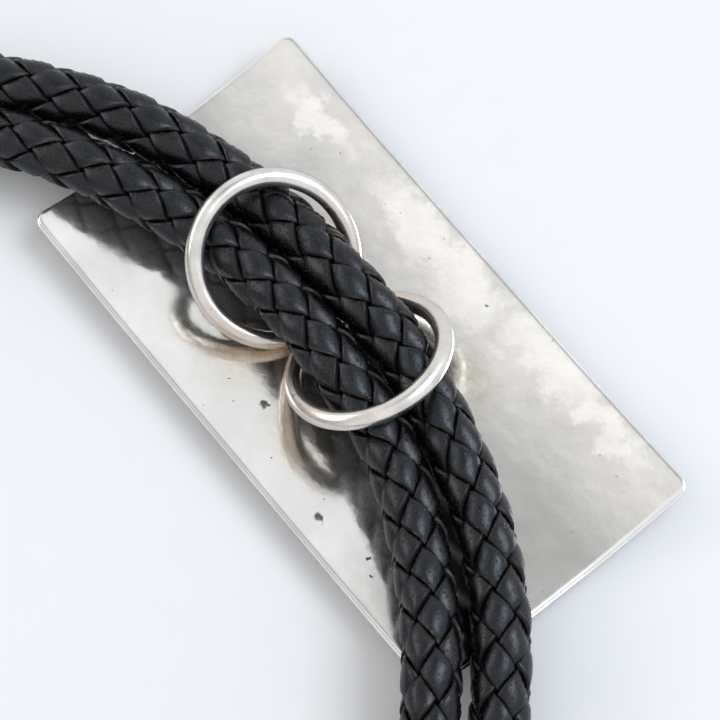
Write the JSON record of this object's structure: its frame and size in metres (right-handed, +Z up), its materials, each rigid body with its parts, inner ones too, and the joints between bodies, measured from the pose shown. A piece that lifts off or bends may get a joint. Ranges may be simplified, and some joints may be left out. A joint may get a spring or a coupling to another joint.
{
  "type": "bolo tie",
  "caption": "Braided leather bolo tie lying face down, with a curved oblong silver slide, cord rings soldered to its back, a whole neck loop and plain metal tips",
  "frame": {"origin": "on the surface that the tie lies on, under the middle of the slide's box", "axes": "Z up from the surface, out of the slide's back, along the slide's shortest extent; Y away from the viewer, the slide's longest extent as it lies turned 39 degrees; X to the viewer's right"},
  "size_m": [0.1375, 0.125, 0.011],
  "materials": {
    "silver": "satin-polished silver with fine scratches",
    "leather": "black braided leather with a soft sheen",
    "tip_silver": "plain polished silver"
  },
  "bodies": {
    "root": {"slide": "silver", "cord_left": "leather", "cord_right": "leather", "tip_left": "tip_silver", "tip_right": "tip_silver"}
  },
  "joints": []
}
